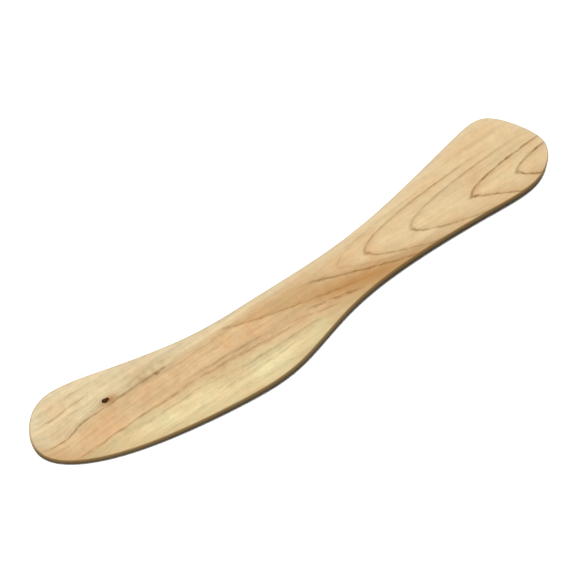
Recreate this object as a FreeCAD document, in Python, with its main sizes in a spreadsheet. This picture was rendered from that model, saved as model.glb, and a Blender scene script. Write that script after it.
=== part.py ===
"""Clay modelling tool: one hardwood board, planed thinner towards the end of its blade, with a small
dead knot held in the blade.

The tool lies flat on its underside. +X runs from the blade to the handle, +Y towards the blade's
upper corner, +Z up through the board. The origin is below the middle of the outline, on the underside.
"""

import FreeCAD, Part
import Sketcher
import os

# The board is cut from a thicker blank. Its top is flat over the handle and the neck, and falls in a
# long gentle curve from taper_high_x to taper_low_x, just past the end of the blade. The sketch of what
# planing takes off is closed past the handle's end and above the blank.
BOARD_SIZES = {
    "blank_thickness": 6,
    "waste_top": 7,
    "thickness": 4.6,
    "blade_end_thickness": 2.5,
    "taper_high_x": -4,
    "taper_low_x": -104,
    "past_handle_x": 104,
    "planing_width": 60,
    "edge_round": 0.9,
}

# The knot is a tapered branch stub that crosses the board at a slant: an oval on the underside and a
# larger one at the height of the handle's top, long axes along the grain. The top of the blade cuts
# the stub between them. The bark is the ring of even width between the stub and the board.
KNOT_SIZES = {
    "knot_upper_x": -73.6,
    "knot_upper_y": 7.1,
    "knot_upper_long": 2.85,
    "knot_upper_wide": 1.85,
    "knot_under_x": -72.2,
    "knot_under_y": 6.3,
    "knot_under_long": 1.9,
    "knot_under_wide": 1.2,
    "bark_width": 0.22,
}

# Control points of the outline, a smooth closed curve, counter-clockwise from the handle's upper corner.
OUTLINE = {
    "handle_corner": (90, 20.5),
    "handle_shoulder": (78, 18.5),
    "handle_flare": (41.5, 10.5),
    "neck_to_handle": (15, 7.5),
    "neck_middle": (-16.5, 8.5),
    "neck_to_blade": (-37.5, 8.5),
    "blade_flare": (-66.5, 15.5),
    "blade_shoulder": (-89.5, 22.5),
    "blade_corner": (-99.5, 13),
    "blade_end": (-101.3, 2),
    "blade_point": (-89.5, -7.5),
    "cutting_edge_start": (-67.5, -15),
    "cutting_edge_middle": (-33.5, -20),
    "belly": (-14.5, -20.5),
    "belly_to_neck": (9, -12),
    "neck_underside": (36.5, -10),
    "handle_underside": (70, -11.5),
    "handle_heel": (90, -13.5),
    "handle_end_lower": (101.3, -4),
    "handle_end_upper": (99.5, 5),
}

SPLINE_DEGREE = 3
ORIGIN = -1  # a sketch's own origin, as constraints number it
START_POINT = 1
END_POINT = 2
CENTRE_POINT = 3
RIM_EDGE_RUN = 20  # mm; the board's rim edges run further along X than this, and no other edge does
FULL_SHARE = 0.99  # share of a hole's volume that must be wood before the cut
VOLUME_LIMIT = 0.001  # mm3 of wood that a cut may leave in its hole


def make_sheet(doc):
    """The driving dimensions, one alias for each."""
    sheet = doc.addObject("Spreadsheet::Sheet", "Sizes")
    sizes = dict(BOARD_SIZES)
    sizes.update(KNOT_SIZES)
    for name, (along, across) in OUTLINE.items():
        sizes[name + "_x"] = along
        sizes[name + "_y"] = across
    for row, (alias, value) in enumerate(sizes.items(), 1):
        sheet.set(f"A{row}", alias)
        sheet.set(f"B{row}", str(value))
        sheet.setAlias(f"B{row}", alias)
    doc.recompute()
    return sheet


def make_body(doc, name):
    body = doc.addObject("PartDesign::Body", name)
    body.Label = name
    body.Placement = FreeCAD.Placement()
    return body


def make_sketch(body, name, height=None, role="XY_Plane"):
    """A sketch on one of the body's origin planes, or above it at a height given by an expression."""
    sketch = body.newObject("Sketcher::SketchObject", name)
    plane = next(item for item in body.Origin.OriginFeatures if item.Role == role)
    sketch.AttachmentSupport = [(plane, "")]
    sketch.MapMode = "FlatFace"
    if height:
        sketch.setExpression("AttachmentOffset.Base.z", height)
    return sketch


def place_point(sketch, geometry, position, name, along, across):
    """Ties a point of the sketch to a place given by two expressions."""
    for kind, suffix, place in (("DistanceX", "_x", along), ("DistanceY", "_y", across)):
        start = sketch.getPoint(geometry, position)
        value = start.x if kind == "DistanceX" else start.y
        number = sketch.addConstraint(
            Sketcher.Constraint(kind, ORIGIN, START_POINT, geometry, position, value)
        )
        sketch.renameConstraint(number, name + suffix)
        sketch.setExpression(f"Constraints.{name}{suffix}", place)


def draw_outline(body):
    """The outline as one periodic B-spline whose control points come from the sheet."""
    sketch = make_sketch(body, "outline")
    poles = [FreeCAD.Vector(along, across, 0) for along, across in OUTLINE.values()]
    curve = sketch.addGeometry(
        Part.BSplineCurve(poles, None, None, True, SPLINE_DEGREE, None, False), False
    )
    sketch.exposeInternalGeometry(curve)
    for number, name in enumerate(OUTLINE, 1):
        place_point(sketch, curve + number, CENTRE_POINT, name, f"Sizes.{name}_x", f"Sizes.{name}_y")
    return sketch


def draw_waste(body):
    """What planing takes off, seen from the side: all that lies above the board's top."""
    sketch = make_sketch(body, "waste", role="XZ_Plane")
    low, high, past = (BOARD_SIZES[name] for name in ("taper_low_x", "taper_high_x", "past_handle_x"))
    thick, thin = BOARD_SIZES["thickness"], BOARD_SIZES["blade_end_thickness"]
    roof = BOARD_SIZES["waste_top"]
    third = (high - low) / SPLINE_DEGREE
    poles = [
        FreeCAD.Vector(low, thin, 0),
        FreeCAD.Vector(low + third, thin, 0),
        FreeCAD.Vector(high - third, thick, 0),
        FreeCAD.Vector(high, thick, 0),
    ]
    curve = sketch.addGeometry(
        Part.BSplineCurve(poles, None, None, False, SPLINE_DEGREE, None, False), False
    )
    corners = [
        FreeCAD.Vector(high, thick, 0),
        FreeCAD.Vector(past, thick, 0),
        FreeCAD.Vector(past, roof, 0),
        FreeCAD.Vector(low, roof, 0),
        FreeCAD.Vector(low, thin, 0),
    ]
    lines = [
        sketch.addGeometry(Part.LineSegment(start, end), False)
        for start, end in zip(corners, corners[1:])
    ]
    chain = [curve] + lines
    for before, after in zip(chain, lines + [curve]):
        sketch.addConstraint(Sketcher.Constraint("Coincident", before, END_POINT, after, START_POINT))
    sketch.exposeInternalGeometry(curve)
    first_pole = lines[-1] + 1
    step = f"(Sizes.taper_high_x - Sizes.taper_low_x) / {SPLINE_DEGREE}"
    pole_places = {
        "blade_end": ("Sizes.taper_low_x", "Sizes.blade_end_thickness"),
        "blade_pull": (f"Sizes.taper_low_x + {step}", "Sizes.blade_end_thickness"),
        "neck_pull": (f"Sizes.taper_high_x - {step}", "Sizes.thickness"),
        "neck": ("Sizes.taper_high_x", "Sizes.thickness"),
    }
    for number, (name, (along, up)) in enumerate(pole_places.items()):
        place_point(sketch, first_pole + number, CENTRE_POINT, name, along, up)
    place_point(sketch, lines[0], END_POINT, "handle", "Sizes.past_handle_x", "Sizes.thickness")
    place_point(sketch, lines[1], END_POINT, "above_handle", "Sizes.past_handle_x", "Sizes.waste_top")
    place_point(sketch, lines[2], END_POINT, "above_blade", "Sizes.taper_low_x", "Sizes.waste_top")
    return sketch


def plane_top(doc, body):
    """Planes a body's top down to the board's own, with a check that something came off. Returns the
    feature."""
    doc.recompute()
    before = body.Shape.Volume
    planing = body.newObject("PartDesign::Pocket", "planing")
    planing.Profile = draw_waste(body)
    planing.SideType = "Symmetric"
    planing.setExpression("Length", "Sizes.planing_width")
    doc.recompute()
    if body.Shape.Volume > before - VOLUME_LIMIT:
        raise RuntimeError(f"planing took nothing off {body.Label}")
    return planing


def draw_oval(body, name, side, height, inset):
    """The knot's oval on one face of the board, made smaller all round by an inset."""
    sketch = make_sketch(body, name, height)
    across, along = KNOT_SIZES[f"knot_{side}_wide"], KNOT_SIZES[f"knot_{side}_long"]
    centre = FreeCAD.Vector(KNOT_SIZES[f"knot_{side}_x"], KNOT_SIZES[f"knot_{side}_y"], 0)
    oval = sketch.addGeometry(
        Part.Ellipse(
            centre + FreeCAD.Vector(along / 2, 0, 0),
            centre + FreeCAD.Vector(0, across / 2, 0),
            centre,
        ),
        False,
    )
    sketch.exposeInternalGeometry(oval)
    long_axis, short_axis = oval + 1, oval + 2
    place_point(sketch, oval, CENTRE_POINT, "middle", f"Sizes.knot_{side}_x", f"Sizes.knot_{side}_y")
    sketch.addConstraint(Sketcher.Constraint("Horizontal", long_axis))
    for axis, size in ((long_axis, "long"), (short_axis, "wide")):
        start = KNOT_SIZES[f"knot_{side}_{size}"]
        number = sketch.addConstraint(Sketcher.Constraint("Distance", axis, start))
        sketch.renameConstraint(number, size)
        sketch.setExpression(f"Constraints.{size}", f"Sizes.knot_{side}_{size} - 2 * ({inset})")
    return sketch


def add_knot_loft(body, kind, name, inset):
    """A loft through the board between the knot's two ovals."""
    under = draw_oval(body, name + "_under", "under", None, inset)
    upper = draw_oval(body, name + "_upper", "upper", "Sizes.thickness", inset)
    loft = body.newObject(kind, name)
    loft.Profile = under
    loft.Sections = [upper]
    loft.Ruled = True
    return loft


def cut_knot_loft(doc, body, name, inset):
    """A lofted hole, with a check that it found wood to remove and left none."""
    doc.recompute()
    before = body.Shape
    loft = add_knot_loft(body, "PartDesign::SubtractiveLoft", name, inset)
    doc.recompute()
    hole = loft.AddSubShape
    found = before.common(hole).Volume
    left = body.Shape.common(hole).Volume
    if found < hole.Volume * FULL_SHARE or left > VOLUME_LIMIT:
        raise RuntimeError(f"{name} found {found:.3f} mm3 of wood and left {left:.3f} mm3")


def make_tool_body(doc):
    """Blade, neck and handle: the board with a hole where the knot sits, planed and then rounded."""
    body = make_body(doc, "tool_body")
    board = body.newObject("PartDesign::Pad", "blank")
    board.Profile = draw_outline(body)
    board.setExpression("Length", "Sizes.blank_thickness")
    cut_knot_loft(doc, body, "knot_hole", "0")
    planing = plane_top(doc, body)
    rim_edges = [
        f"Edge{number}"
        for number, edge in enumerate(body.Shape.Edges, 1)
        if edge.BoundBox.XLength > RIM_EDGE_RUN
    ]
    rounding = body.newObject("PartDesign::Fillet", "edge_rounding")
    rounding.Base = (planing, rim_edges)
    rounding.setExpression("Radius", "Sizes.edge_round")


def make_knot_bark(doc):
    """The thin ring of bark round the knot."""
    body = make_body(doc, "knot_bark")
    add_knot_loft(body, "PartDesign::AdditiveLoft", "bark_outside", "0")
    cut_knot_loft(doc, body, "bark_inside", "Sizes.bark_width")
    plane_top(doc, body)


def make_knot_core(doc):
    """The wood of the knot inside its bark."""
    body = make_body(doc, "knot_core")
    add_knot_loft(body, "PartDesign::AdditiveLoft", "core", "Sizes.bark_width")
    plane_top(doc, body)


def check_model(doc, bodies):
    for item in doc.Objects:
        if "Invalid" in item.State or "Error" in item.State:
            raise RuntimeError(f"{item.Label} did not compute: {item.State}")
    for body in bodies:
        if body.Shape.isNull() or not body.Shape.isValid():
            raise RuntimeError(f"{body.Label} has no valid solid")


def main():
    doc = FreeCAD.newDocument("clay_modelling_tool")
    make_sheet(doc)
    make_tool_body(doc)
    make_knot_bark(doc)
    make_knot_core(doc)
    doc.recompute()
    bodies = [item for item in doc.Objects if item.isDerivedFrom("PartDesign::Body")]
    check_model(doc, bodies)
    os.makedirs("parts", exist_ok=True)
    for body in bodies:
        body.Shape.exportStep(f"parts/{body.Label}.step")
        box = body.Shape.BoundBox
        print(
            f"{body.Label}: {body.Shape.Volume:.2f} mm3, X {box.XMin:.2f} to {box.XMax:.2f}, "
            f"Y {box.YMin:.2f} to {box.YMax:.2f}, Z {box.ZMin:.2f} to {box.ZMax:.2f}"
        )


main()
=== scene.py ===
"""Looks of the clay modelling tool: a sanded hardwood board with a small dead knot in its blade.

Lengths are given in millimetres and turned into metres where a mesh, light or camera is made.
"""

import math

import bmesh
import bpy
import numpy as np
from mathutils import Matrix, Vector


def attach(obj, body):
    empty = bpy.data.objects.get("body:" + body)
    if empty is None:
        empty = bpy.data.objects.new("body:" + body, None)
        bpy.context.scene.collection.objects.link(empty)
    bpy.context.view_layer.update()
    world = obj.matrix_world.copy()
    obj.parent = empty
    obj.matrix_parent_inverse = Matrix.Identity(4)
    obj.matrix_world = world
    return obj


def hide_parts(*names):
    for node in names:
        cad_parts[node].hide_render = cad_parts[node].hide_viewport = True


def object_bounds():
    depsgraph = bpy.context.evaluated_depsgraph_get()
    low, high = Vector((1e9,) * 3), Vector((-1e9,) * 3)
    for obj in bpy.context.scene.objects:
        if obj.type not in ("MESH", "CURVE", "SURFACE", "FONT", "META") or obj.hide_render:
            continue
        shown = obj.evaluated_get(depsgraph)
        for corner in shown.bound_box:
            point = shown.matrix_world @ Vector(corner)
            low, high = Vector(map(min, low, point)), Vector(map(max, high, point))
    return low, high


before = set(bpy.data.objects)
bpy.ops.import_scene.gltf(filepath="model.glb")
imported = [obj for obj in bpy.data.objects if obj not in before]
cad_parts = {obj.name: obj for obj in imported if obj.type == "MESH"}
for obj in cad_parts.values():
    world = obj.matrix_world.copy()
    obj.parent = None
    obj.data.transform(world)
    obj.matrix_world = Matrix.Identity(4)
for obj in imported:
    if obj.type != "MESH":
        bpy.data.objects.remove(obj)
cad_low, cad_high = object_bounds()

MM = 0.001
THICKNESS = (cad_high.z - cad_low.z) / MM
HALF_LENGTH = 100
BLADE_END_THICKNESS = 2.5
TAPER_HIGH_X, TAPER_LOW_X = -4, -104  # the board's top falls between these, towards the blade's end

# Control points of the board's outline, a closed uniform cubic B-spline, as the CAD model has them.
OUTLINE = {
    "handle_corner": (90, 20.5),
    "handle_shoulder": (78, 18.5),
    "handle_flare": (41.5, 10.5),
    "neck_to_handle": (15, 7.5),
    "neck_middle": (-16.5, 8.5),
    "neck_to_blade": (-37.5, 8.5),
    "blade_flare": (-66.5, 15.5),
    "blade_shoulder": (-89.5, 22.5),
    "blade_corner": (-99.5, 13),
    "blade_end": (-101.3, 2),
    "blade_point": (-89.5, -7.5),
    "cutting_edge_start": (-67.5, -15),
    "cutting_edge_middle": (-33.5, -20),
    "belly": (-14.5, -20.5),
    "belly_to_neck": (9, -12),
    "neck_underside": (36.5, -10),
    "handle_underside": (70, -11.5),
    "handle_heel": (90, -13.5),
    "handle_end_lower": (101.3, -4),
    "handle_end_upper": (99.5, 5),
}

# The face is a grid with its corners near these control points.
CORNERS = ("handle_corner", "blade_corner", "blade_point", "handle_heel")
CELLS_ALONG, CELLS_ACROSS = 400, 52
FINE_STEPS = 4000  # places along a side of the outline, from which the even ones are worked out
BLOCK = 2000  # points handled at once in the search for the nearest outline point

RIM_WIDTH = 1.8  # strip beside the edge, made of rows parallel to the outline
UNDER_RIM_MIDDLE = 1.4  # the row inside the underside's strip
UPPER_ROUND = 0.75  # radius of the upper edge half way along the tool
ROUND_CHANGE = 0.1  # how much larger it is at the blade's end, and smaller at the handle's
UNDER_ROUND = 0.9
ROUND_ROWS = 7
ROLL_WIDTH = 3.6  # how far in from the edge the hand-sanded face starts to fall
ROLL_DEPTH, WORN_ROLL = 0.08, 0.06  # how far it falls, and how much further on the edge that faces away from the key light
UNDER_SHARE = 0.5  # the underside rolls and waves this much as far as the top
WAVE_DEPTH, WAVE_PEAK = 0.018, 1.95  # mm for each unit of the waves, and the most they add up to
EDGE_WIDTH = 5.0  # how far in from the edge the wood's colour changes
SHADED_EDGE_TOWARDS = np.array([-0.5, -0.87])  # the edge that faces this way is away from the key light: where painted shade goes, where the paler painted light fades out, and where the face rolls off further
SHADED_EDGE_GAIN = 1.5

# The knot: an oval at the height of the handle's top and one on the underside, each with its centre,
# half length along the grain and half width. The blade's top cuts the slanted stub between them.
KNOT_HIGH = {"centre": (-73.6, 7.1), "half_long": 1.425, "half_wide": 0.925}
KNOT_UNDER = {"centre": (-72.2, 6.3), "half_long": 0.95, "half_wide": 0.6}
KNOT_SIDES = 64
KNOT_SWELLS = ((0.07, 2, 0.8), (0.07, 3, -0.5), (0.04, 5, 2.2), (0.02, 7, 1.3))  # size, waves round it, turn
KNOT_GAP = 0.01
KNOT_BLOCK = (6, 5)  # half the cells, along and across, that make room for the knot
KNOT_RING_ROWS = 7  # rows between those cells and the knot
KNOT_RING_CROWDING = 0.7  # below 1, the rows are closer together near the knot

BARK_WIDTH = 0.22
BARK_ROWS = 4
BARK_RINGS = (0.25, 0.5, 0.75)  # shares of the way from the outer wall to the inner one
BARK_DEPTH, BARK_ROUGHNESS = 0.1, 0.02
BARK_INNER_DROP = 0.12  # how far below the face the bark's inner wall starts
BARK_UNDER = 0.05  # height of the bark's lower end
CORE_ROWS = 5
CORE_RINGS = (0.12, 0.3, 0.5, 0.7, 0.86, 0.96)  # shares of the way from the middle to the wall
CORE_DEPTH, CORE_ROUGHNESS = 0.07, 0.006
CORE_DOME = 0.03  # how much higher the middle is than the rim
CORE_UNDER = 0.04
WALL_DROP = 0.1  # how far below the face the core's wall and the bark's outer wall start
CRACK_DEPTH, CRACK_WIDTH, CRACK_SLOPE = 0.12, 0.05, 0.25

SHARP_ANGLE = math.radians(50)


def top_height(x):
    """Height of the board's top at a place along the tool."""
    share = np.clip((x - TAPER_LOW_X) / (TAPER_HIGH_X - TAPER_LOW_X), 0, 1)
    return BLADE_END_THICKNESS + (THICKNESS - BLADE_END_THICKNESS) * share**2 * (3 - 2 * share)


def knot_oval(height):
    """The knot's oval at a height in the board."""
    share = height / THICKNESS
    oval = {}
    for name, under in KNOT_UNDER.items():
        oval[name] = np.array(under) * (1 - share) + np.array(KNOT_HIGH[name]) * share
    return oval


KNOT_TOP = float(top_height(KNOT_HIGH["centre"][0]))
KNOT_UPPER = knot_oval(KNOT_TOP)


# ---------------------------------------------------------------- outline

def spline_point(poles, place):
    """Points of the closed cubic B-spline, and their directions; place runs from 0 to the pole count."""
    start = np.floor(place).astype(int)
    part = (place - start)[:, None]
    near = [poles[(start + step) % len(poles)] for step in (-1, 0, 1, 2)]
    weights = (
        (1 - part) ** 3,
        3 * part**3 - 6 * part**2 + 4,
        -3 * part**3 + 3 * part**2 + 3 * part + 1,
        part**3,
    )
    slopes = (
        -3 * (1 - part) ** 2,
        9 * part**2 - 12 * part,
        -9 * part**2 + 6 * part + 3,
        3 * part**2,
    )
    point = sum(w * p for w, p in zip(weights, near)) / 6
    direction = sum(w * p for w, p in zip(slopes, near)) / 6
    return point, direction / np.linalg.norm(direction, axis=1)[:, None]


def even_places(poles, first, last, count):
    """count places from first to last, not including last, evenly spaced along the curve."""
    fine = np.linspace(first, last, FINE_STEPS)
    points, _ = spline_point(poles, fine)
    run = np.r_[0, np.cumsum(np.linalg.norm(np.diff(points, axis=0), axis=1))]
    return np.interp(np.arange(count) * run[-1] / count, run, fine)


def outline_loop():
    """The outline's points and outward directions, counter-clockwise from the handle's corner."""
    poles = np.array(list(OUTLINE.values()), float)
    names = list(OUTLINE)
    stops = [names.index(name) for name in CORNERS] + [len(names)]
    places = []
    for side, count in enumerate((CELLS_ALONG, CELLS_ACROSS, CELLS_ALONG, CELLS_ACROSS)):
        places.append(even_places(poles, stops[side], stops[side + 1], count))
    points, direction = spline_point(poles, np.concatenate(places))
    outward = np.stack([direction[:, 1], -direction[:, 0]], axis=1)
    return points, outward


def nearest_on_outline(points, loop):
    """For each point, its distance from the outline and the number of the nearest outline point."""
    distance = np.empty(len(points))
    number = np.empty(len(points), int)
    for start in range(0, len(points), BLOCK):
        gap = np.linalg.norm(points[start:start + BLOCK, None] - loop[None], axis=2)
        number[start:start + BLOCK] = gap.argmin(axis=1)
        distance[start:start + BLOCK] = gap.min(axis=1)
    return distance, number


# ---------------------------------------------------------------- board

def hand_waviness(points):
    """Slow dips that sanding by hand leaves in a face, in mm, never above the face."""
    along, across = points[:, 0], points[:, 1]
    wave = np.sin(0.083 * along + 0.9) * np.sin(0.21 * across + 0.4)
    wave += 0.6 * np.sin(0.17 * along - 0.13 * across + 2.1)
    wave += 0.35 * np.sin(0.39 * along + 0.31 * across)
    return WAVE_DEPTH * (wave - WAVE_PEAK)


def round_steps(radius):
    """How far in and how far down each row of a rounded edge lies, from the face to the side."""
    turns = [0.5 * math.pi * step / (ROUND_ROWS - 1) for step in range(ROUND_ROWS)]
    return [(radius * (1 - math.sin(turn)), radius * (1 - math.cos(turn))) for turn in turns]


def grid_borders():
    """Where the face grid's top, left, bottom and right borders lie in a rim row."""
    nx, ny = CELLS_ALONG, CELLS_ACROSS
    top = np.arange(0, nx + 1)[::-1]  # blade corner to handle corner
    left = np.arange(nx, nx + ny + 1)[::-1]  # blade point up to blade corner
    bottom = np.arange(nx + ny, 2 * nx + ny + 1)  # blade point to handle heel
    right = np.arange(2 * nx + ny, 2 * (nx + ny) + 1) % (2 * (nx + ny))  # handle heel up to handle corner
    return top, left, bottom, right


def coons_patch(top, left, bottom, right):
    """A grid of points that blends four borders into a face."""
    u = np.linspace(0, 1, len(top))[:, None, None]
    v = np.linspace(0, 1, len(left))[None, :, None]
    patch = (1 - v) * bottom[:, None] + v * top[:, None] + (1 - u) * left[None] + u * right[None]
    patch -= (1 - u) * (1 - v) * bottom[0] + u * (1 - v) * bottom[-1]
    patch -= (1 - u) * v * top[0] + u * v * top[-1]
    return patch


class Surface:
    """Collects a piece's vertices, in metres, and its faces."""

    def __init__(self):
        self.vertices = []
        self.faces = []

    def add_points(self, points, height):
        """Adds points at one height, or each at its own, and returns their numbers."""
        start = len(self.vertices)
        for (x, y), z in zip(points, np.broadcast_to(height, len(points))):
            self.vertices.append((x * MM, y * MM, z * MM))
        return np.arange(start, start + len(points))

    def flat_places(self, numbers):
        """Places of vertices along and across the tool, in mm."""
        return np.array([self.vertices[n][:2] for n in numbers]) / MM

    def band(self, first, second):
        """Quads between two closed rows of the same count."""
        for corners in zip(first, np.roll(first, -1), np.roll(second, -1), second):
            self.faces.append(corners)


class Board(Surface):
    """The board's mesh, with values at each vertex that its material reads."""

    def __init__(self):
        super().__init__()
        self.loop, self.outward = outline_loop()
        self.upper_round = UPPER_ROUND - ROUND_CHANGE * np.clip(self.loop[:, 0] / HALF_LENGTH, -1, 1)
        # The edge facing away from the key light: painted shade goes on its side and rim, and paler painted
        # light on the opposite edges
        shaded_edge = np.clip(self.outward @ SHADED_EDGE_TOWARDS, 0, 1)
        self.roll = ROLL_DEPTH + WORN_ROLL * shaded_edge
        self.shaded_edge = np.clip(SHADED_EDGE_GAIN * shaded_edge, 0, 1)
        self.looks = {"side_share": [], "edge_near": [], "shaded_edge_share": []}

    def add(self, points, height, side, distance, number):
        """Adds points with their looks and returns their numbers.

        Side is 0 on a face and 1 on the board's side. Distance is how far in from the outline a point
        is, and number is that of the nearest outline point.
        """
        near = np.clip(1 - distance / EDGE_WIDTH, 0, 1)
        for name, values in zip(self.looks, (side, near, self.shaded_edge[number])):
            self.looks[name].extend(np.broadcast_to(values, len(points)))
        return self.add_points(points, height)

    def heights(self, points, distance, number, upper, drop=0.0):
        """Heights of points on the top or the underside; drop is how far a rounded edge is inside it."""
        roll = self.roll[number] * np.clip(1 - distance / ROLL_WIDTH, 0, 1) ** 2
        fall = roll - hand_waviness(points)
        return top_height(points[:, 0]) - fall - drop if upper else UNDER_SHARE * fall + drop

    def add_face_points(self, points, upper):
        """Adds points of the top or the underside and returns their numbers."""
        distance, number = nearest_on_outline(points, self.loop)
        return self.add(points, self.heights(points, distance, number, upper), 0.0, distance, number)

    def side_rows(self):
        """Closed rows from the upper rim, over the rounded edge and the side, to the lower rim."""
        upper_rim = [(RIM_WIDTH, 0.0), (0.5 * (RIM_WIDTH + self.upper_round.mean()), 0.0)]
        under_rim = [(UNDER_RIM_MIDDLE, 0.0), (RIM_WIDTH, 0.0)]
        upper_steps = upper_rim + round_steps(self.upper_round)
        under_steps = round_steps(UNDER_ROUND)[::-1] + under_rim
        number = np.arange(len(self.loop))
        rows = []
        for upper, steps in ((True, upper_steps), (False, under_steps)):
            for inset, drop in steps:
                inset = np.broadcast_to(inset, len(self.loop))
                points = self.loop - self.outward * inset[:, None]
                height = self.heights(points, inset, number, upper, drop)
                side = np.clip(2 * (1 - inset / self.upper_round), 0, 1)
                rows.append(self.add(points, height, side, inset, number))
        for first, second in zip(rows, rows[1:]):
            self.band(first, second)
        return rows[0], rows[-1]

    def face_grid(self, rim_row, upper):
        """Quads inside a rim row, with an opening for the knot. Returns the row round the opening."""
        top, left, bottom, right = grid_borders()
        rim = self.flat_places(rim_row)
        patch = coons_patch(rim[top], rim[left], rim[bottom], rim[right])
        numbers = np.empty(patch.shape[:2], int)
        inner = patch[1:-1, 1:-1]
        numbers[1:-1, 1:-1] = self.add_face_points(inner.reshape(-1, 2), upper).reshape(inner.shape[:2])
        numbers[:, -1] = rim_row[top]
        numbers[0, :] = rim_row[left]
        numbers[:, 0] = rim_row[bottom]
        numbers[-1, :] = rim_row[right]

        gap = np.linalg.norm(patch - np.array(KNOT_UPPER["centre"]), axis=2)
        middle_i, middle_j = np.unravel_index(gap.argmin(), gap.shape)
        i0, i1 = middle_i - KNOT_BLOCK[0], middle_i + KNOT_BLOCK[0]
        j0, j1 = middle_j - KNOT_BLOCK[1], middle_j + KNOT_BLOCK[1]
        for i in range(CELLS_ALONG):
            for j in range(CELLS_ACROSS):
                if not (i0 <= i < i1 and j0 <= j < j1):
                    corners = ((i, j), (i + 1, j), (i + 1, j + 1), (i, j + 1))
                    self.faces.append([numbers[corner] for corner in corners])
        opening = [(i, j0) for i in range(i0, i1)] + [(i1, j) for j in range(j0, j1)]
        opening += [(i, j1) for i in range(i1, i0, -1)] + [(i0, j) for j in range(j1, j0, -1)]
        return self.rings_to_knot([numbers[cell] for cell in opening], upper)

    def rings_to_knot(self, opening_row, upper):
        """Rows that turn the square opening in the grid into the knot's oval. Returns the last row."""
        oval = KNOT_UPPER if upper else KNOT_UNDER
        outside = self.flat_places(opening_row)
        spoke = outside - np.array(oval["centre"])
        angles = np.arctan2(spoke[:, 1] / oval["half_wide"], spoke[:, 0] / oval["half_long"])
        hole = oval_points(oval, angles, 0)
        last = np.array(opening_row)
        for step in range(1, KNOT_RING_ROWS + 1):
            share = (step / KNOT_RING_ROWS) ** KNOT_RING_CROWDING
            row = self.add_face_points((1 - share) * outside + share * hole, upper)
            self.band(last, row)
            last = row
        return last


def oval_points(oval, angles, inset):
    """The knot's outline on one face, with the slight unevenness of a grown thing."""
    swell = np.ones(len(angles))
    for size, waves, turn in KNOT_SWELLS:
        swell += size * np.cos(waves * angles + turn)
    along = (oval["half_long"] * swell - inset) * np.cos(angles)
    across = (oval["half_wide"] * swell - inset) * np.sin(angles)
    return np.array(oval["centre"]) + np.stack([along, across], axis=1)


def add_piece(name, surface, material, node):
    """A smooth-shaded piece that rides on the root body in place of a node of the CAD model."""
    mesh = bpy.data.meshes.new(name)
    mesh.from_pydata(surface.vertices, [], [tuple(int(n) for n in face) for face in surface.faces])
    work = bmesh.new()
    work.from_mesh(mesh)
    bmesh.ops.recalc_face_normals(work, faces=work.faces)
    for face in work.faces:
        face.smooth = True
    work.to_mesh(mesh)
    work.free()
    mesh.set_sharp_from_angle(angle=SHARP_ANGLE)
    mesh.materials.append(material)
    piece = bpy.data.objects.new(name, mesh)
    bpy.context.scene.collection.objects.link(piece)
    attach(piece, "root")
    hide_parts(node)
    return piece


def make_board(material):
    board = Board()
    upper_rim, lower_rim = board.side_rows()
    upper_hole = board.face_grid(upper_rim, True)
    under_hole = board.face_grid(lower_rim, False)
    board.band(upper_hole, under_hole)
    piece = add_piece("wooden_board", board, material, "tool_body")
    for name, values in board.looks.items():
        layer = piece.data.attributes.new(name, "FLOAT", "POINT")
        layer.data.foreach_set("value", np.array(values, np.float32))


# ---------------------------------------------------------------- knot

def knot_rows(inset, steps):
    """Closed rows down the knot's slanted wall, from the upper oval to the lower."""
    angles = np.linspace(0, 2 * math.pi, KNOT_SIDES, endpoint=False)
    upper = oval_points(KNOT_UPPER, angles, inset)
    under = oval_points(KNOT_UNDER, angles, inset)
    return [(1 - s) * upper + s * under for s in np.linspace(0, 1, steps)]


def crust(points, depth, roughness):
    """Heights of a cracked surface a little under the board's face."""
    along, across = points[:, 0], points[:, 1]
    bumps = np.sin(9.1 * along + 3 * across) * np.sin(11.3 * across - 2 * along)
    bumps += 0.5 * np.sin(23 * along) * np.sin(19 * across + 1)
    return top_height(along) - depth + roughness * bumps


def make_knot_core(material):
    """The sanded end of the dead branch, with a drying crack across it."""
    core = Surface()
    walls = knot_rows(BARK_WIDTH + KNOT_GAP, CORE_ROWS)
    centre = walls[0].mean(axis=0)
    rows = []
    for share in CORE_RINGS:
        points = centre + (walls[0] - centre) * share
        spoke = points - centre
        off_crack = (spoke[:, 1] - CRACK_SLOPE * spoke[:, 0]) / CRACK_WIDTH
        crack = np.exp(-off_crack**2) * (1 - share**2)
        surface = crust(points, CORE_DEPTH - CORE_DOME * (1 - share), CORE_ROUGHNESS)
        rows.append(core.add_points(points, surface - CRACK_DEPTH * crack))
    for points, height in zip(walls, np.linspace(KNOT_TOP - WALL_DROP, CORE_UNDER, CORE_ROWS)):
        rows.append(core.add_points(points, height))
    for first, second in zip(rows, rows[1:]):
        core.band(first, second)
    core.faces += [rows[0], rows[-1]]
    add_piece("knot_wood", core, material, "knot_core")


def make_knot_bark(material):
    """The dark ring between the knot and the board, sunk and crumbly at the top."""
    bark = Surface()
    outer = knot_rows(KNOT_GAP, BARK_ROWS)
    inner = knot_rows(BARK_WIDTH, BARK_ROWS)
    rows = []
    for points, height in zip(outer[::-1], np.linspace(BARK_UNDER, KNOT_TOP - WALL_DROP, BARK_ROWS)):
        rows.append(bark.add_points(points, height))
    for share in BARK_RINGS:
        points = (1 - share) * outer[0] + share * inner[0]
        rows.append(bark.add_points(points, crust(points, BARK_DEPTH, BARK_ROUGHNESS)))
    for points, height in zip(inner, np.linspace(KNOT_TOP - BARK_INNER_DROP, BARK_UNDER, BARK_ROWS)):
        rows.append(bark.add_points(points, height))
    for first, second in zip(rows, rows[1:] + rows[:1]):
        bark.band(first, second)
    add_piece("knot_bark_ring", bark, material, "knot_bark")


# ---------------------------------------------------------------- colours

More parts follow.
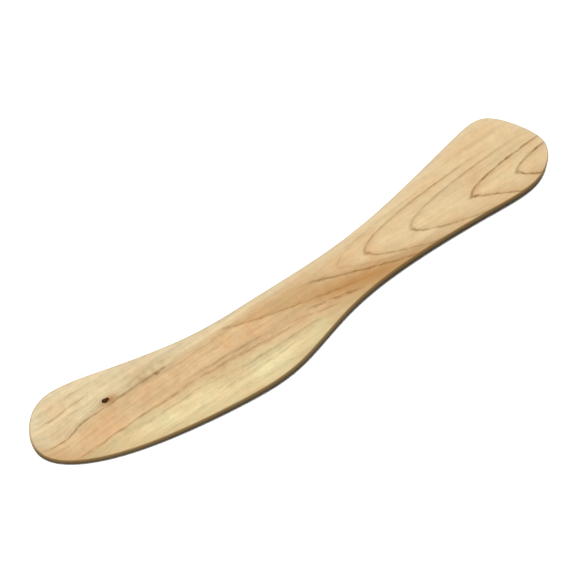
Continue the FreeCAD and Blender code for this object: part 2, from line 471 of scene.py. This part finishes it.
LIGHT_ON_FACE = 1.45  # about how bright a white face that looks straight up is, where 1 is white on screen
PINK_TINT = (1.0, 0.84, 0.76, 1.0)
FLOOR_WHITES = ((0.86, 0.86, 0.86, 1), (0.9, 0.9, 0.9, 1))


def seen(red, green, blue):
    """The surface colour that looks like these 0 to 255 display values on a face under the studio light."""
    def linear(value):
        value /= 255
        return value / 12.92 if value <= 0.04045 else ((value + 0.055) / 1.055) ** 2.4

    return tuple(linear(value) / LIGHT_ON_FACE for value in (red, green, blue)) + (1.0,)


COLOURS = {
    "blade_tan": seen(224, 203, 160),
    "heartwood": seen(217, 184, 137),
    "sapwood_border": seen(218, 197, 148),
    "sapwood": seen(231, 214, 164),
    "neck_tan": seen(208, 173, 122),
    "handle_tan": seen(225, 199, 153),
    "waist_brown": seen(190, 144, 84),
    "halo": seen(174, 120, 58),
    "smoke": seen(160, 130, 86),
    "speck": seen(122, 88, 44),
    "ring_tone": seen(176, 130, 76),
    "ring_line": seen(130, 90, 30),
    # Painted light: the face paler near the edges facing the key light
    "lit_edge": seen(228, 214, 184),
    # Painted shade with a burnished tint: browner face near the edge facing away from the key light
    "burnish_and_shade_edge": seen(172, 128, 74),
    # Painted shade on the board's side, and a darker painted contact shadow towards its bottom
    "side_shade": seen(130, 102, 62),
    "contact_shade": seen(44, 34, 20),
    "knot_dark": seen(40, 18, 3),
    "knot_light": seen(104, 58, 20),
    "bark_dark": seen(24, 12, 3),
    "bark_light": seen(66, 37, 12),
}

# How far each layer of the wood's look goes, where 1 would cover what is under it.
TONE_STRENGTH = 0.45
MARK_STRENGTH = 0.68
WAIST_STRENGTH = 0.95
HALO_STRENGTH = 0.85
# Painted shade with a burnished tint near the edge facing away from the key light
BURNISH_AND_SHADE_STRENGTH = 0.55
# Painted light near the edges facing the key: how strong, and how much less on the side
LIT_EDGE_STRENGTH, LIT_EDGE_LOSS_ON_SIDE = 0.42, 0.2
# Painted shade on the board's side: its share everywhere, and its extra on the edge facing away from the key
# light
SIDE_SHADE_EVERYWHERE, SIDE_SHADE_ON_SHADED_EDGE = 0.15, 0.77

# Where a colour change starts, and where it is complete.
TAN_TO_HEART = (7.5, 3.0)  # across the tool
SAPWOOD_FALL = (-55.0, 5.0)  # along the tool, where the sapwood's line falls away
SAPWOOD_BORDER = (-1.8, 1.6)  # below the sapwood's line
SAPWOOD_FULL = (0.5, 6.0)
NECK_ALONG, NECK_ACROSS = (-34.0, -8.0), (8.0, 1.0)
HANDLE_ALONG = (-8.0, 24.0)
BLADE_ROUGHER = (5.0, -35.0)  # along the tool
CONTACT_SHADE_HEIGHTS = (0.92, 0.3)  # shares of the board's height over which the side's painted shade deepens towards the bottom

SAPWOOD_LEVEL, SAPWOOD_DROP = -5.2, 4.6  # height of the sapwood's line in the blade, and its fall
WAIST_SLOPE = 0.2  # the waist's brown follows the grain down towards the handle

# Soft oval spots on the face: the centre, then the reach along and across.
WAIST = ((20.0, -3.0), (24.0, 4.0))
SMOKE = ((-57.0, 6.6), (11.0, 2.3))
BLADE_END_DIP = ((-92.0, 4.0), (7.5, 5.0))
DIP_DEPTH = 2.4

HALO_SHIFT = (0.9, -0.7)  # from the knot's centre to the halo's
HALO_STRETCH, HALO_REACH = 2.2, 1.3
SPECKS = ((-55.3, 1.8, 1.0), (-59.4, 1.4, 0.6))  # place along, reach along, darkness
SPECK_HEIGHT, SPECK_WIDTH = 4.8, 0.5

# Noises drawn out along the grain: scale along and across for each mm, detail and roughness.
GRAIN = {
    "drift": (0.02, 0.07, 2.0, 0.5),
    "shake": (0.16, 0.3, 4.0, 0.6),
    "wobble": (0.3, 0.45, 4.0, 0.65),
    "gaps": (0.35, 0.6, 3.0, 0.6),
    "bands": (0.02, 0.5, 3.0, 0.6),
    "fibres": (0.07, 2.4, 5.0, 0.7),
    "flecks": (0.45, 2.6, 2.0, 0.5),
}

# Even noises: scale for each mm, detail and roughness.
MOTTLE = (0.35, 4.0, 0.65)
TINT = (0.12, 3.0, 0.5)
KNOT_MOTTLE = (3.0, 3.0, 0.5)
BARK_GRIT = (7.0, 4.0, 0.7)
FLOOR_CLOUD = (0.01, 2.0, 0.5)

DRIFT, SHAKE = 0.8, 0.75  # how far the noises push the grain, in mm
WOBBLE_ALONG, WOBBLE_ACROSS = 0.9, 0.45
FLOW_STRETCH, FLOW_REACH_SQUARED = 1.7, 1.3  # the grain's bend round the knot
LINE_LEVEL = 0.8  # strength of an arch's line where the noise is at its middle
STREAK_GAPS = (-0.7, 0.3)  # noise below which a streak is gone, and above which it is whole
FLECK_LEVELS = (0.36, 0.6)  # noise at which a pore starts, and at which it is full
TINT_LEVEL, TINT_CHANGE = 0.22, 0.9
# Painted shade with a burnished tint near the shaded edge: its level, and how much the mottle changes it
BURNISH_AND_SHADE_LEVEL, BURNISH_AND_SHADE_CHANGE = 0.6, 0.8
SMOKE_LEVEL = 0.3
SPECK_LEVEL, SPECK_CHANGE = 0.55, 1.6

# How much lighter or darker the noises make the wood.
BAND_CONTRAST = 0.17
MOTTLE_CONTRAST = 0.12
FIBRE_CONTRAST = 0.17
FLECK_CONTRAST = 0.13
BLADE_EXTRA_CONTRAST = 0.45  # the blade's noises show this much more than the handle's

# How each surface takes the light; relief is its strength and its depth in mm.
ROUGHNESS = {"hardwood": 0.58, "knot_wood": 0.6, "knot_bark": 0.85, "studio_floor": 0.9}
ROUGHNESS_CHANGE = 0.1
GLOSS = {"hardwood": 0.12, "knot_wood": 0.12, "knot_bark": 0.05, "studio_floor": 0.1}
RELIEF = {"hardwood": (0.4, 0.04), "knot_wood": (0.5, 0.04), "knot_bark": (0.8, 0.06)}

MARK_RELIEF = 0.6  # how deep a ring's line is against the fibres
KNOT_RING_STRETCH = 1.5  # the knot's rings are this much longer along the grain than across
KNOT_RING_DENSITY = 38.0  # radians for each mm
KNOT_RING_WOBBLE, KNOT_RING_SHOW = 0.25, 0.2
DARK_SHARE = 0.4  # how far the knot and its bark are from their dark colour to their light one


# ---------------------------------------------------------------- node helpers

class Nodes:
    """Short ways to add nodes to one tree."""

    def __init__(self, tree):
        self.tree = tree

    def add(self, kind, **settings):
        node = self.tree.nodes.new(kind)
        for name, value in settings.items():
            setattr(node, name, value)
        return node

    def plug(self, socket, value):
        """Links a socket to an output, or gives it a value."""
        if isinstance(value, bpy.types.NodeSocket):
            self.tree.links.new(value, socket)
        else:
            socket.default_value = value

    def math(self, operation, *values):
        node = self.add("ShaderNodeMath", operation=operation)
        for socket, value in zip(node.inputs, values):
            self.plug(socket, value)
        return node.outputs[0]

    def chain(self, operation, values):
        """One operation on two or more values, from left to right."""
        total = values[0]
        for value in values[1:]:
            total = self.math(operation, total, value)
        return total

    def plus(self, *values):
        return self.chain("ADD", values)

    def times(self, *values):
        return self.chain("MULTIPLY", values)

    def minus(self, first, second):
        return self.math("SUBTRACT", first, second)

    def over(self, first, second):
        return self.math("DIVIDE", first, second)

    def squares(self, first, second):
        """The sum of two values' squares."""
        return self.plus(self.times(first, first), self.times(second, second))

    def length(self, first, second):
        """Length of the vector with these two parts."""
        return self.math("SQRT", self.squares(first, second))

    def mix(self, factor, first, second, blend="MIX"):
        node = self.add("ShaderNodeMix", data_type="RGBA", blend_type=blend, clamp_factor=True)
        self.plug(node.inputs["Factor"], factor)
        self.plug(node.inputs[6], first)
        self.plug(node.inputs[7], second)
        return node.outputs[2]

    def step(self, value, start, end):
        """0 at start and before it, 1 at end and past it, smooth between; end may be below start."""
        node = self.add("ShaderNodeMapRange", interpolation_type="SMOOTHSTEP")
        for name, given in (("Value", value), ("From Min", start), ("From Max", end)):
            self.plug(node.inputs[name], given)
        return node.outputs[0]

    def hump(self, value, centre, width):
        """A bell round centre: 1 there, small beyond width."""
        away = self.over(self.minus(value, centre), width)
        return self.math("EXPONENT", self.times(away, away, -1.0))

    def spot(self, along, across, centre, reach):
        """A soft oval spot: 1 at its centre, small beyond its reach."""
        return self.times(self.hump(along, centre[0], reach[0]), self.hump(across, centre[1], reach[1]))

    def vector(self, x, y, z):
        node = self.add("ShaderNodeCombineXYZ")
        for socket, value in zip(node.inputs, (x, y, z)):
            self.plug(socket, value)
        return node.outputs[0]

    def noise(self, place, scale, detail=2.0, roughness=0.5):
        """Noise about 0, mostly between -0.5 and 0.5."""
        node = self.add("ShaderNodeTexNoise")
        self.plug(node.inputs["Vector"], self.vector(*place))
        self.plug(node.inputs["Scale"], scale)
        self.plug(node.inputs["Detail"], detail)
        self.plug(node.inputs["Roughness"], roughness)
        return self.times(self.minus(node.outputs[0], 0.5), 2.5)

    def grain_noise(self, place, along_scale, across_scale, detail=2.0, roughness=0.5):
        """Noise drawn out along the grain, which runs along X."""
        scales = (along_scale, across_scale, across_scale)
        stretched = [self.times(value, scale) for value, scale in zip(place, scales)]
        return self.noise(stretched, 1.0, detail, roughness)

    def attribute(self, name):
        return self.add("ShaderNodeAttribute", attribute_name=name).outputs["Fac"]


def new_material(name):
    material = bpy.data.materials.new(name)
    material.use_nodes = True
    return material, Nodes(material.node_tree), material.node_tree.nodes["Principled BSDF"]


def millimetres(nodes):
    """The piece's own coordinates, in mm, as three values."""
    place = nodes.add("ShaderNodeTexCoord").outputs["Object"]
    parts = nodes.add("ShaderNodeSeparateXYZ")
    nodes.plug(parts.inputs[0], place)
    return [nodes.over(socket, MM) for socket in parts.outputs]


def add_relief(nodes, shader, height, strength, depth):
    """Relief too fine for the mesh; depth in mm."""
    bump = nodes.add("ShaderNodeBump")
    nodes.plug(bump.inputs["Strength"], strength)
    nodes.plug(bump.inputs["Distance"], depth * MM)
    nodes.plug(bump.inputs["Height"], height)
    nodes.plug(shader.inputs["Normal"], bump.outputs[0])


# ---------------------------------------------------------------- growth rings

# Rings that cross the face as nested arches, opening towards the handle: the place of the arch's tip
# along the tool, then each arm's spread, as a straight and a curved share, and how dark it is.
# (tip, upper straight, upper curved, upper dark, lower straight, lower curved, lower dark)
ARCHES = (
    (-30.0, 3.2, 0.12, 0.00, 3.0, 0.40, 0.65),
    (2.8, 2.5, 0.20, 0.10, 3.1, 0.09, 1.00),
    (13.9, 0.2, 0.30, 0.30, 1.3, 0.28, 0.35),
    (24.3, 0.15, 0.30, 0.70, 0.64, 0.243, 0.80),
    (42.2, 0.0, 0.34, 0.60, 0.3, 0.41, 0.80),
    (66.3, 0.1, 0.41, 1.10, 2.0, 0.03, 1.00),
    (84.0, 0.1, 0.45, 1.10, 0.7, 0.25, 1.10),
)
NECK_ARCH, HANDLE_ARCH = 0, 3  # the arches inside which the neck's and the handle's own tans begin
AXIS_HEIGHT, AXIS_SLOPE = 2.5, 0.095  # the arches' middle line: its height at x = 0, and its fall
ARCH_REACH, ARCH_FADE = 58.0, 22.0  # how far behind its tip an arm ends, and where it starts to fade
ARM_BLEND = 0.3  # how far each side of the middle line the two arms blend
RING_WIDTH = 0.31  # half the width of a ring's dark line
TIP_REACH, TIP_THICKENING = 1.3, 1.5  # the line is thicker within this reach of the middle line
ARCH_START = (-0.15, 0.25)  # across the line, where the inside starts and where it is complete
TONE_FADE = 0.9  # how fast the brown inside an arch fades, for each mm
RING_DIP = 8.0  # how far a ring moves along the tool for each mm of depth

# Faint straight rings in the blade: height across the face, slope, first and last place along, darkness.
STREAKS = (
    (12.2, 0.015, -99, -74, 0.60),
    (15.0, 0.010, -94, -76, 0.40),
    (5.2, 0.000, -101, -46, 1.00),
    (7.4, 0.000, -68, -44, 0.40),
    (-4.6, 0.000, -94, -45, 0.75),
    (-7.6, -0.010, -70, -42, 0.55),
    (-1.8, -0.070, -47, -16, 0.60),
    (-3.6, -0.070, -52, -4, 0.55),
    (-8.6, -0.030, -34, 2, 0.60),
    (-12.2, -0.015, -44, -8, 0.45),
    (6.3, -0.200, -4, 18, 1.00),
    (4.2, -0.200, -12, 10, 0.55),
)
STREAK_WIDTH = 0.4
STREAK_START_FADE, STREAK_END_FADE = 5.0, 6.0
STREAK_LEVEL_X = -60.0  # where along the tool a streak has its stated height


def arch_group():
    """A node group for one arch: its line, the brown tone that fades away inside it, and its inside."""
    tree = bpy.data.node_groups.new("growth_arch", "ShaderNodeTree")
    names = ("Along", "Off Axis", "Tip", "Upper Straight", "Upper Curved", "Upper Dark",
             "Lower Straight", "Lower Curved", "Lower Dark")
    for name in names:
        tree.interface.new_socket(name=name, in_out="INPUT", socket_type="NodeSocketFloat")
    for name in ("Line", "Tone", "Inside"):
        tree.interface.new_socket(name=name, in_out="OUTPUT", socket_type="NodeSocketFloat")
    nodes = Nodes(tree)
    given = nodes.add("NodeGroupInput").outputs
    upper = nodes.step(given["Off Axis"], -ARM_BLEND, ARM_BLEND)
    off = nodes.math("ABSOLUTE", given["Off Axis"])

    def arm(name):
        """The upper or the lower arm's value, by the side of the middle line."""
        low, high = given["Lower " + name], given["Upper " + name]
        return nodes.plus(low, nodes.times(upper, nodes.minus(high, low)))

    straight, curved, dark = arm("Straight"), arm("Curved"), arm("Dark")
    lean = nodes.plus(straight, nodes.times(curved, 2.0, off))
    spread = nodes.times(off, nodes.plus(straight, nodes.times(curved, off)))
    ahead = nodes.minus(nodes.minus(given["Along"], given["Tip"]), spread)
    distance = nodes.over(ahead, nodes.math("SQRT", nodes.plus(nodes.times(lean, lean), 1.0)))
    thicker = nodes.plus(1.0, nodes.times(nodes.hump(off, 0.0, TIP_REACH), TIP_THICKENING))
    dark = nodes.times(dark, nodes.step(spread, ARCH_REACH, ARCH_REACH - ARCH_FADE))
    line = nodes.times(nodes.hump(distance, 0.0, nodes.times(RING_WIDTH, thicker)), dark)
    inside = nodes.step(distance, *ARCH_START)
    fade = nodes.math("EXPONENT", nodes.times(nodes.math("ABSOLUTE", distance), -TONE_FADE))
    result = nodes.add("NodeGroupOutput").inputs
    for name, value in (("Line", line), ("Tone", nodes.times(inside, fade, dark)), ("Inside", inside)):
        nodes.plug(result[name], value)
    return tree


def add_arches(nodes, along, off_axis):
    """All arches together: the dark lines and the soft tones inside them, and each one's inside."""
    tree = arch_group()
    lines, tones, insides = 0.0, 0.0, []
    for arch in ARCHES:
        group = nodes.add("ShaderNodeGroup", node_tree=tree)
        for socket, value in zip(group.inputs, (along, off_axis, *arch)):
            nodes.plug(socket, value)
        lines = nodes.math("MAXIMUM", group.outputs["Line"], lines)
        tones = nodes.math("MAXIMUM", group.outputs["Tone"], tones)
        insides.append(group.outputs["Inside"])
    return lines, tones, insides


def add_streaks(nodes, along, across):
    """The blade's straight rings together."""
    total = 0.0
    for level, slope, first, last, dark in STREAKS:
        height = nodes.minus(across, nodes.times(nodes.minus(along, STREAK_LEVEL_X), slope))
        started = nodes.step(along, first, first + STREAK_START_FADE)
        unfinished = nodes.step(along, last, last - STREAK_END_FADE)
        streak = nodes.times(nodes.hump(height, level, STREAK_WIDTH), nodes.times(started, unfinished), dark)
        total = nodes.math("MAXIMUM", total, streak)
    return total


def arch_place(nodes, place, depth):
    """Where a point is among the arches: along them, and off their middle line."""
    x, y, _ = place
    wobble = nodes.grain_noise(place, *GRAIN["wobble"])
    along = nodes.plus(x, nodes.times(depth, RING_DIP), nodes.times(wobble, WOBBLE_ALONG))
    axis = nodes.minus(AXIS_HEIGHT, nodes.times(x, AXIS_SLOPE))
    return along, nodes.minus(nodes.plus(y, nodes.times(wobble, WOBBLE_ACROSS)), axis)


# ---------------------------------------------------------------- hardwood

def flow_round_knot(nodes, along, across):
    """Bends the grain round the knot as water bends round a post."""
    dx = nodes.over(nodes.minus(along, KNOT_UPPER["centre"][0]), FLOW_STRETCH)
    dy = nodes.minus(across, KNOT_UPPER["centre"][1])
    outside = nodes.math("MAXIMUM", nodes.squares(dx, dy), FLOW_REACH_SQUARED)
    pushed = nodes.over(FLOW_REACH_SQUARED, outside)
    return nodes.minus(across, nodes.times(dy, pushed))


def grain_across(nodes, place):
    """How far across the grain a point is, where the grain drifts, shakes and bends round the knot."""
    x, y, _ = place
    drift = nodes.times(nodes.grain_noise(place, *GRAIN["drift"]), DRIFT)
    shake = nodes.times(nodes.grain_noise(place, *GRAIN["shake"]), SHAKE)
    return nodes.plus(flow_round_knot(nodes, x, y), nodes.plus(drift, shake))


def hardwood_colours(nodes, x, across, insides):
    """The board's ground colour: tan above, pinkish heartwood, pale sapwood and the brown waist."""
    blade = nodes.mix(nodes.step(across, *TAN_TO_HEART), COLOURS["blade_tan"], COLOURS["heartwood"])
    falling = nodes.times(nodes.step(x, *SAPWOOD_FALL), SAPWOOD_DROP)
    below = nodes.minus(nodes.minus(SAPWOOD_LEVEL, falling), across)
    sapwood = nodes.step(below, *SAPWOOD_BORDER)
    blade = nodes.mix(sapwood, blade, COLOURS["sapwood_border"])
    blade = nodes.mix(nodes.step(below, *SAPWOOD_FULL), blade, COLOURS["sapwood"])
    heart = nodes.minus(1.0, sapwood)
    neck = nodes.times(insides[NECK_ARCH], heart, nodes.step(across, *NECK_ACROSS))
    neck = nodes.times(neck, nodes.step(x, *NECK_ALONG))
    wood = nodes.mix(neck, blade, COLOURS["neck_tan"])
    ahead = nodes.times(nodes.step(x, *HANDLE_ALONG), heart)
    handle = nodes.math("MAXIMUM", ahead, insides[HANDLE_ARCH])
    wood = nodes.mix(handle, wood, COLOURS["handle_tan"])
    slanted = nodes.plus(across, nodes.times(x, WAIST_SLOPE))
    waist = nodes.times(nodes.spot(x, slanted, *WAIST), WAIST_STRENGTH)
    return nodes.mix(waist, wood, COLOURS["waist_brown"])


def knot_surroundings(nodes, x, y, colour, ripple):
    """The brown halo round the knot, and the smoky streak and dark specks beyond it along the grain."""
    centre = np.array(KNOT_UPPER["centre"]) + HALO_SHIFT
    halo_x = nodes.over(nodes.minus(x, centre[0]), HALO_STRETCH)
    halo_y = nodes.minus(y, centre[1])
    halo = nodes.hump(nodes.length(halo_x, halo_y), 0.0, HALO_REACH)
    colour = nodes.mix(nodes.times(halo, HALO_STRENGTH), colour, COLOURS["halo"])
    smoke = nodes.times(nodes.spot(x, y, *SMOKE), nodes.plus(SMOKE_LEVEL, ripple))
    colour = nodes.mix(smoke, colour, COLOURS["smoke"])
    specks = 0.0
    for place, reach, dark in SPECKS:
        specks = nodes.plus(nodes.times(nodes.hump(x, place, reach), dark), specks)
    rippled = nodes.plus(SPECK_LEVEL, nodes.times(ripple, SPECK_CHANGE))
    specks = nodes.times(specks, nodes.hump(y, SPECK_HEIGHT, SPECK_WIDTH), rippled)
    return nodes.mix(specks, colour, COLOURS["speck"])


def broken_marks(nodes, place, lines, streaks):
    """All the rings' marks together, each fading and coming back along its length."""
    gaps = nodes.grain_noise(place, *GRAIN["gaps"])
    lines = nodes.times(lines, nodes.plus(LINE_LEVEL, gaps))
    streaks = nodes.times(streaks, nodes.step(gaps, *STREAK_GAPS))
    return nodes.math("MAXIMUM", lines, streaks)


def texture_light(nodes, x, bands, mottle, fibres, flecks):
    """How much the noises lighten or darken the wood, about 1."""
    light = nodes.plus(nodes.times(bands, BAND_CONTRAST), nodes.times(mottle, MOTTLE_CONTRAST))
    light = nodes.plus(light, nodes.times(fibres, FIBRE_CONTRAST))
    light = nodes.minus(light, nodes.times(flecks, FLECK_CONTRAST))
    rougher = nodes.plus(1.0, nodes.times(nodes.step(x, *BLADE_ROUGHER), BLADE_EXTRA_CONTRAST))
    return nodes.plus(1.0, nodes.times(light, rougher))


def lit(nodes, colour, light):
    """A colour made lighter or darker."""
    shade = nodes.add("ShaderNodeCombineColor")
    for socket in shade.inputs:
        nodes.plug(socket, light)
    return nodes.mix(1.0, colour, shade.outputs[0], "MULTIPLY")


def edge_colours(nodes, colour, side, mottle):
    """Painted light: the face paler near the edges that face the key light. Painted shade with a burnished
    tint: browner near the edge that faces away from it.
    """
    near, shaded_edge = nodes.attribute("edge_near"), nodes.attribute("shaded_edge_share")
    # Painted light: paler near the edges facing the key light
    lit_edge_share = nodes.times(near, near, nodes.minus(1.0, shaded_edge))
    lit_edge_share = nodes.times(lit_edge_share, nodes.minus(LIT_EDGE_STRENGTH, nodes.times(side, LIT_EDGE_LOSS_ON_SIDE)))
    colour = nodes.mix(lit_edge_share, colour, COLOURS["lit_edge"])
    # Painted shade with a burnished tint: browner near the edge facing away from the key light
    burnish_and_shade = nodes.times(near, shaded_edge, nodes.plus(BURNISH_AND_SHADE_LEVEL, nodes.times(mottle, BURNISH_AND_SHADE_CHANGE)))
    return nodes.mix(nodes.times(burnish_and_shade, BURNISH_AND_SHADE_STRENGTH), colour, COLOURS["burnish_and_shade_edge"])


def painted_side_shade(nodes, side):
    """How much painted shade goes on the board's side, most on the edge facing away from the key light."""
    shaded_edge = nodes.attribute("shaded_edge_share")
    return nodes.times(side, nodes.plus(SIDE_SHADE_EVERYWHERE, nodes.times(shaded_edge, SIDE_SHADE_ON_SHADED_EDGE)))


def make_hardwood():
    """Sanded pale hardwood: solid rings through the board, long fibres, pores, and edges with painted light,
    painted shade and a burnished tint.
    """
    material, nodes, shader = new_material("hardwood")
    place = x, y, z = millimetres(nodes)
    taper = nodes.step(x, TAPER_LOW_X, TAPER_HIGH_X)
    top = nodes.plus(BLADE_END_THICKNESS, nodes.times(taper, THICKNESS - BLADE_END_THICKNESS))
    across = grain_across(nodes, place)
    blade_across = nodes.plus(across, nodes.times(nodes.spot(x, y, *BLADE_END_DIP), DIP_DEPTH))
    lines, tones, insides = add_arches(nodes, *arch_place(nodes, place, nodes.minus(z, top)))
    marks = broken_marks(nodes, place, lines, add_streaks(nodes, x, blade_across))

    bands = nodes.grain_noise((x, blade_across, z), *GRAIN["bands"])
    mottle = nodes.noise(place, *MOTTLE)
    fibres = nodes.grain_noise((x, blade_across, z), *GRAIN["fibres"])
    flecks = nodes.step(nodes.grain_noise((x, across, z), *GRAIN["flecks"]), *FLECK_LEVELS)

    colour = hardwood_colours(nodes, x, blade_across, insides)
    colour = knot_surroundings(nodes, x, y, colour, mottle)
    colour = nodes.mix(nodes.times(tones, TONE_STRENGTH), colour, COLOURS["ring_tone"])
    colour = nodes.mix(nodes.times(marks, MARK_STRENGTH), colour, COLOURS["ring_line"])
    colour = lit(nodes, colour, texture_light(nodes, x, bands, mottle, fibres, flecks))
    tint = nodes.plus(TINT_LEVEL, nodes.times(nodes.noise(place, *TINT), TINT_CHANGE))
    colour = nodes.mix(tint, colour, nodes.mix(1.0, colour, PINK_TINT, "MULTIPLY"))

    side = nodes.attribute("side_share")
    colour = edge_colours(nodes, colour, side, mottle)
    # Painted shade on the side, darker towards the bottom where the contact shadow falls
    side_shade = painted_side_shade(nodes, side)
    low = nodes.step(nodes.over(z, top), *CONTACT_SHADE_HEIGHTS)
    colour = nodes.mix(side_shade, colour, nodes.mix(low, COLOURS["side_shade"], COLOURS["contact_shade"]))
    nodes.plug(shader.inputs["Base Color"], colour)

    rough = nodes.plus(ROUGHNESS["hardwood"], nodes.times(fibres, ROUGHNESS_CHANGE))
    rough = nodes.minus(rough, nodes.times(side, ROUGHNESS_CHANGE))
    nodes.plug(shader.inputs["Roughness"], rough)
    nodes.plug(shader.inputs["Specular IOR Level"], nodes.times(nodes.minus(1.0, side_shade), GLOSS["hardwood"]))
    height = nodes.minus(nodes.minus(fibres, nodes.times(marks, MARK_RELIEF)), flecks)
    add_relief(nodes, shader, height, *RELIEF["hardwood"])
    return material


# ---------------------------------------------------------------- other materials

def finish(nodes, shader, name, colour, uneven):
    """Gives a surface its colour, its gloss and a roughness that varies with a noise."""
    nodes.plug(shader.inputs["Base Color"], colour)
    rough = nodes.plus(ROUGHNESS[name], nodes.times(uneven, ROUGHNESS_CHANGE))
    nodes.plug(shader.inputs["Roughness"], rough)
    nodes.plug(shader.inputs["Specular IOR Level"], GLOSS[name])


def make_knot_wood():
    """Dark resinous knot wood with tight rings."""
    material, nodes, shader = new_material("knot_wood")
    place = x, y, _ = millimetres(nodes)
    dx = nodes.over(nodes.minus(x, KNOT_UPPER["centre"][0]), KNOT_RING_STRETCH)
    dy = nodes.minus(y, KNOT_UPPER["centre"][1])
    uneven = nodes.noise(place, *KNOT_MOTTLE)
    radius = nodes.plus(nodes.length(dx, dy), nodes.times(uneven, KNOT_RING_WOBBLE))
    rings = nodes.math("SINE", nodes.times(radius, KNOT_RING_DENSITY))
    share = nodes.plus(DARK_SHARE, nodes.plus(nodes.times(rings, KNOT_RING_SHOW), uneven))
    colour = nodes.mix(share, COLOURS["knot_dark"], COLOURS["knot_light"])
    finish(nodes, shader, "knot_wood", colour, uneven)
    add_relief(nodes, shader, nodes.plus(rings, uneven), *RELIEF["knot_wood"])
    return material


def make_bark():
    """Crumbly bark, from dark brown to nearly black."""
    material, nodes, shader = new_material("knot_bark")
    grit = nodes.noise(millimetres(nodes), *BARK_GRIT)
    colour = nodes.mix(nodes.plus(grit, DARK_SHARE), COLOURS["bark_dark"], COLOURS["bark_light"])
    finish(nodes, shader, "knot_bark", colour, grit)
    add_relief(nodes, shader, grit, *RELIEF["knot_bark"])
    return material


def make_floor_paint():
    """Matt white paint, very slightly cloudy."""
    material, nodes, shader = new_material("studio_floor")
    cloud = nodes.noise(millimetres(nodes), *FLOOR_CLOUD)
    finish(nodes, shader, "studio_floor", nodes.mix(nodes.plus(cloud, 0.5), *FLOOR_WHITES), 0.0)
    return material


# ---------------------------------------------------------------- studio

VIEW_TURN = math.radians(35.55)  # the tool's turn against the camera's level line
VIEW_HEIGHT = math.radians(65)
VIEW_DISTANCE = 530.9
VIEW_AIM = (-2.14, 5.32, 0.0)
LENS = 100
CLIP_NEAR, CLIP_FAR = 0.01, 20  # in metres
FLOOR_SIZE = 6000
FLOOR_GAP = 0.05  # how far the floor is below the tool
AMBIENT = 0.5  # light from all round; the camera itself sees white
KEY_TURN = VIEW_TURN - math.radians(42)  # the key light comes over the tool from the left of the view
KEY_HEIGHT = math.radians(88.5)
KEY_SPREAD = math.radians(6)
KEY_STRENGTH = 3.1


def make_floor(material):
    half = FLOOR_SIZE / 2 * MM
    corners = [(-half, -half), (half, -half), (half, half), (-half, half)]
    mesh = bpy.data.meshes.new("studio_floor")
    mesh.from_pydata([(x, y, -FLOOR_GAP * MM) for x, y in corners], [], [(0, 1, 2, 3)])
    mesh.materials.append(material)
    floor = bpy.data.objects.new("studio_floor", mesh)
    bpy.context.scene.collection.objects.link(floor)


def direction(turn, rise):
    """The direction that is turned from +Y towards +X, and rises above the level."""
    level = math.cos(rise)
    return Vector((math.sin(turn) * level, math.cos(turn) * level, math.sin(rise)))


def add_aimed(name, data, location, look):
    """A camera or a lamp that looks along a direction."""
    aimed = bpy.data.objects.new(name, data)
    aimed.location = location
    aimed.rotation_mode = "QUATERNION"
    aimed.rotation_quaternion = look.to_track_quat("-Z", "Y")
    bpy.context.scene.collection.objects.link(aimed)
    return aimed


def make_camera():
    look = direction(VIEW_TURN, -VIEW_HEIGHT)
    data = bpy.data.cameras.new("camera")
    data.lens = LENS
    data.clip_start, data.clip_end = CLIP_NEAR, CLIP_FAR
    location = (Vector(VIEW_AIM) - look * VIEW_DISTANCE) * MM
    bpy.context.scene.camera = add_aimed("camera", data, location, look)


def make_light():
    """Even light from all round, and a soft sun almost overhead."""
    world = bpy.data.worlds.new("studio")
    world.use_nodes = True
    nodes = Nodes(world.node_tree)
    background = world.node_tree.nodes["Background"]
    nodes.plug(background.inputs["Color"], (1.0, 1.0, 1.0, 1.0))
    straight = nodes.add("ShaderNodeLightPath").outputs["Is Camera Ray"]
    nodes.plug(background.inputs["Strength"], nodes.plus(AMBIENT, nodes.times(straight, 1.0 - AMBIENT)))
    bpy.context.scene.world = world
    data = bpy.data.lights.new("key_light", "SUN")
    data.energy = KEY_STRENGTH
    data.angle = KEY_SPREAD
    away = direction(KEY_TURN, KEY_HEIGHT)
    add_aimed("key_light", data, away, -away)


def main():
    make_board(make_hardwood())
    make_knot_core(make_knot_wood())
    make_knot_bark(make_bark())
    make_floor(make_floor_paint())
    make_light()
    make_camera()
    bpy.context.scene.view_settings.view_transform = "Standard"


main()
